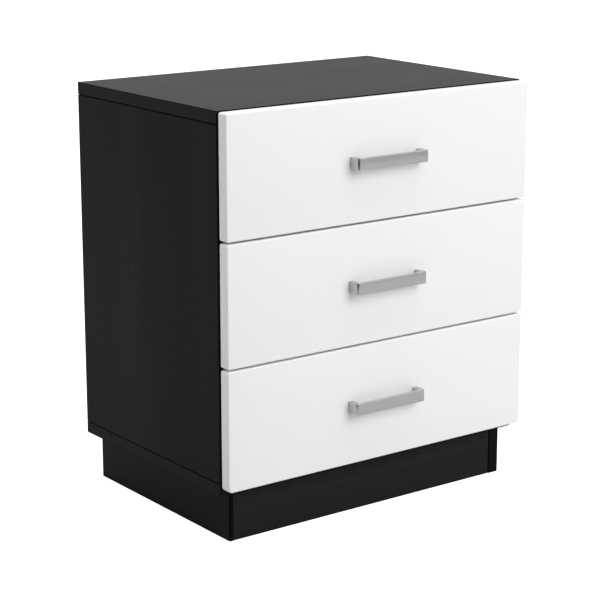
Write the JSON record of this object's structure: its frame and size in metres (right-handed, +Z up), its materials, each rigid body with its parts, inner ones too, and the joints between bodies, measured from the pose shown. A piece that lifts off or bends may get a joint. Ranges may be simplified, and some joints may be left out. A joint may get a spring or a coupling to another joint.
{
  "type": "nightstand with drawers",
  "caption": "Bedside cabinet with full-width drawers on roller runners, bow handles and a recessed plinth. It stands on the floor and stores small items.",
  "frame": {"origin": "on the floor, at the centre of the overall box, handles included", "axes": "+Z up, -Y towards the user who opens the drawers, +X to that user's right"},
  "size_m": [0.48, 0.3562, 0.54],
  "materials": {
    "black_board": "matt melamine with a fine wood grain",
    "white_front": "smooth satin white",
    "white_box": "matt white melamine",
    "white_base": "matt white paper-faced fibreboard",
    "handle_metal": "satin",
    "runner_metal": "smooth epoxy coating",
    "nylon": "smooth white nylon",
    "screw_metal": "zinc plated"
  },
  "bodies": {
    "carcass": {"top_panel": "black_board", "bottom_panel": "black_board", "side_panel_left": "black_board", "side_panel_right": "black_board", "back_panel": "black_board", "plinth_front": "black_board", "plinth_back": "black_board", "plinth_side_left": "black_board", "plinth_side_right": "black_board", "cabinet_runner_top_left": "runner_metal", "cabinet_runner_top_right": "runner_metal", "cabinet_runner_middle_left": "runner_metal", "cabinet_runner_middle_right": "runner_metal", "cabinet_runner_bottom_left": "runner_metal", "cabinet_runner_bottom_right": "runner_metal"},
    "drawer_top": {"drawer_top_front": "white_front", "drawer_top_side_left": "white_box", "drawer_top_side_right": "white_box", "drawer_top_back": "white_box", "drawer_top_base": "white_base", "drawer_top_handle": "handle_metal", "drawer_top_handle_screw_left": "screw_metal", "drawer_top_handle_screw_right": "screw_metal", "drawer_top_runner_left": "runner_metal", "drawer_top_runner_right": "runner_metal"},
    "cabinet_roller_top_left": {"cabinet_roller_top_left": "nylon"},
    "drawer_top_roller_left": {"drawer_top_roller_left": "nylon"},
    "cabinet_roller_top_right": {"cabinet_roller_top_right": "nylon"},
    "drawer_top_roller_right": {"drawer_top_roller_right": "nylon"},
    "drawer_middle": {"drawer_middle_front": "white_front", "drawer_middle_side_left": "white_box", "drawer_middle_side_right": "white_box", "drawer_middle_back": "white_box", "drawer_middle_base": "white_base", "drawer_middle_handle": "handle_metal", "drawer_middle_handle_screw_left": "screw_metal", "drawer_middle_handle_screw_right": "screw_metal", "drawer_middle_runner_left": "runner_metal", "drawer_middle_runner_right": "runner_metal"},
    "cabinet_roller_middle_left": {"cabinet_roller_middle_left": "nylon"},
    "drawer_middle_roller_left": {"drawer_middle_roller_left": "nylon"},
    "cabinet_roller_middle_right": {"cabinet_roller_middle_right": "nylon"},
    "drawer_middle_roller_right": {"drawer_middle_roller_right": "nylon"},
    "drawer_bottom": {"drawer_bottom_front": "white_front", "drawer_bottom_side_left": "white_box", "drawer_bottom_side_right": "white_box", "drawer_bottom_back": "white_box", "drawer_bottom_base": "white_base", "drawer_bottom_handle": "handle_metal", "drawer_bottom_handle_screw_left": "screw_metal", "drawer_bottom_handle_screw_right": "screw_metal", "drawer_bottom_runner_left": "runner_metal", "drawer_bottom_runner_right": "runner_metal"},
    "cabinet_roller_bottom_left": {"cabinet_roller_bottom_left": "nylon"},
    "drawer_bottom_roller_left": {"drawer_bottom_roller_left": "nylon"},
    "cabinet_roller_bottom_right": {"cabinet_roller_bottom_right": "nylon"},
    "drawer_bottom_roller_right": {"drawer_bottom_roller_right": "nylon"}
  },
  "joints": [
    {"name": "drawer_top_slide", "type": "slide", "parent": "carcass", "child": "drawer_top", "axis": [0, -1, 0], "range_m": [0, 0.225]},
    {"name": "cabinet_roller_top_left_spin", "type": "hinge", "parent": "carcass", "child": "cabinet_roller_top_left", "pos_m": [-0.2184, -0.12785, 0.40883], "axis": [1, 0, 0], "range_deg": [0, 1440]},
    {"name": "drawer_top_roller_left_spin", "type": "hinge", "parent": "drawer_top", "child": "drawer_top_roller_left", "pos_m": [-0.2169, 0.13695, 0.40883], "axis": [1, 0, 0], "range_deg": [0, 1440]},
    {"name": "cabinet_roller_top_right_spin", "type": "hinge", "parent": "carcass", "child": "cabinet_roller_top_right", "pos_m": [0.2184, -0.12785, 0.40883], "axis": [1, 0, 0], "range_deg": [0, 1440]},
    {"name": "drawer_top_roller_right_spin", "type": "hinge", "parent": "drawer_top", "child": "drawer_top_roller_right", "pos_m": [0.2169, 0.13695, 0.40883], "axis": [1, 0, 0], "range_deg": [0, 1440]},
    {"name": "drawer_middle_slide", "type": "slide", "parent": "carcass", "child": "drawer_middle", "axis": [0, -1, 0], "range_m": [0, 0.225]},
    {"name": "cabinet_roller_middle_left_spin", "type": "hinge", "parent": "carcass", "child": "cabinet_roller_middle_left", "pos_m": [-0.2184, -0.12785, 0.25267], "axis": [1, 0, 0], "range_deg": [0, 1440]},
    {"name": "drawer_middle_roller_left_spin", "type": "hinge", "parent": "drawer_middle", "child": "drawer_middle_roller_left", "pos_m": [-0.2169, 0.13695, 0.25267], "axis": [1, 0, 0], "range_deg": [0, 1440]},
    {"name": "cabinet_roller_middle_right_spin", "type": "hinge", "parent": "carcass", "child": "cabinet_roller_middle_right", "pos_m": [0.2184, -0.12785, 0.25267], "axis": [1, 0, 0], "range_deg": [0, 1440]},
    {"name": "drawer_middle_roller_right_spin", "type": "hinge", "parent": "drawer_middle", "child": "drawer_middle_roller_right", "pos_m": [0.2169, 0.13695, 0.25267], "axis": [1, 0, 0], "range_deg": [0, 1440]},
    {"name": "drawer_bottom_slide", "type": "slide", "parent": "carcass", "child": "drawer_bottom", "axis": [0, -1, 0], "range_m": [0, 0.225]},
    {"name": "cabinet_roller_bottom_left_spin", "type": "hinge", "parent": "carcass", "child": "cabinet_roller_bottom_left", "pos_m": [-0.2184, -0.12785, 0.0965], "axis": [1, 0, 0], "range_deg": [0, 1440]},
    {"name": "drawer_bottom_roller_left_spin", "type": "hinge", "parent": "drawer_bottom", "child": "drawer_bottom_roller_left", "pos_m": [-0.2169, 0.13695, 0.0965], "axis": [1, 0, 0], "range_deg": [0, 1440]},
    {"name": "cabinet_roller_bottom_right_spin", "type": "hinge", "parent": "carcass", "child": "cabinet_roller_bottom_right", "pos_m": [0.2184, -0.12785, 0.0965], "axis": [1, 0, 0], "range_deg": [0, 1440]},
    {"name": "drawer_bottom_roller_right_spin", "type": "hinge", "parent": "drawer_bottom", "child": "drawer_bottom_roller_right", "pos_m": [0.2169, 0.13695, 0.0965], "axis": [1, 0, 0], "range_deg": [0, 1440]}
  ],
  "couplings": [
    {"joint": "cabinet_roller_top_left_spin", "follows": "drawer_top_slide", "rad_per_m": 111.11},
    {"joint": "drawer_top_roller_left_spin", "follows": "drawer_top_slide", "rad_per_m": 111.11},
    {"joint": "cabinet_roller_top_right_spin", "follows": "drawer_top_slide", "rad_per_m": 111.11},
    {"joint": "drawer_top_roller_right_spin", "follows": "drawer_top_slide", "rad_per_m": 111.11},
    {"joint": "cabinet_roller_middle_left_spin", "follows": "drawer_middle_slide", "rad_per_m": 111.11},
    {"joint": "drawer_middle_roller_left_spin", "follows": "drawer_middle_slide", "rad_per_m": 111.11},
    {"joint": "cabinet_roller_middle_right_spin", "follows": "drawer_middle_slide", "rad_per_m": 111.11},
    {"joint": "drawer_middle_roller_right_spin", "follows": "drawer_middle_slide", "rad_per_m": 111.11},
    {"joint": "cabinet_roller_bottom_left_spin", "follows": "drawer_bottom_slide", "rad_per_m": 111.11},
    {"joint": "drawer_bottom_roller_left_spin", "follows": "drawer_bottom_slide", "rad_per_m": 111.11},
    {"joint": "cabinet_roller_bottom_right_spin", "follows": "drawer_bottom_slide", "rad_per_m": 111.11},
    {"joint": "drawer_bottom_roller_right_spin", "follows": "drawer_bottom_slide", "rad_per_m": 111.11}
  ]
}
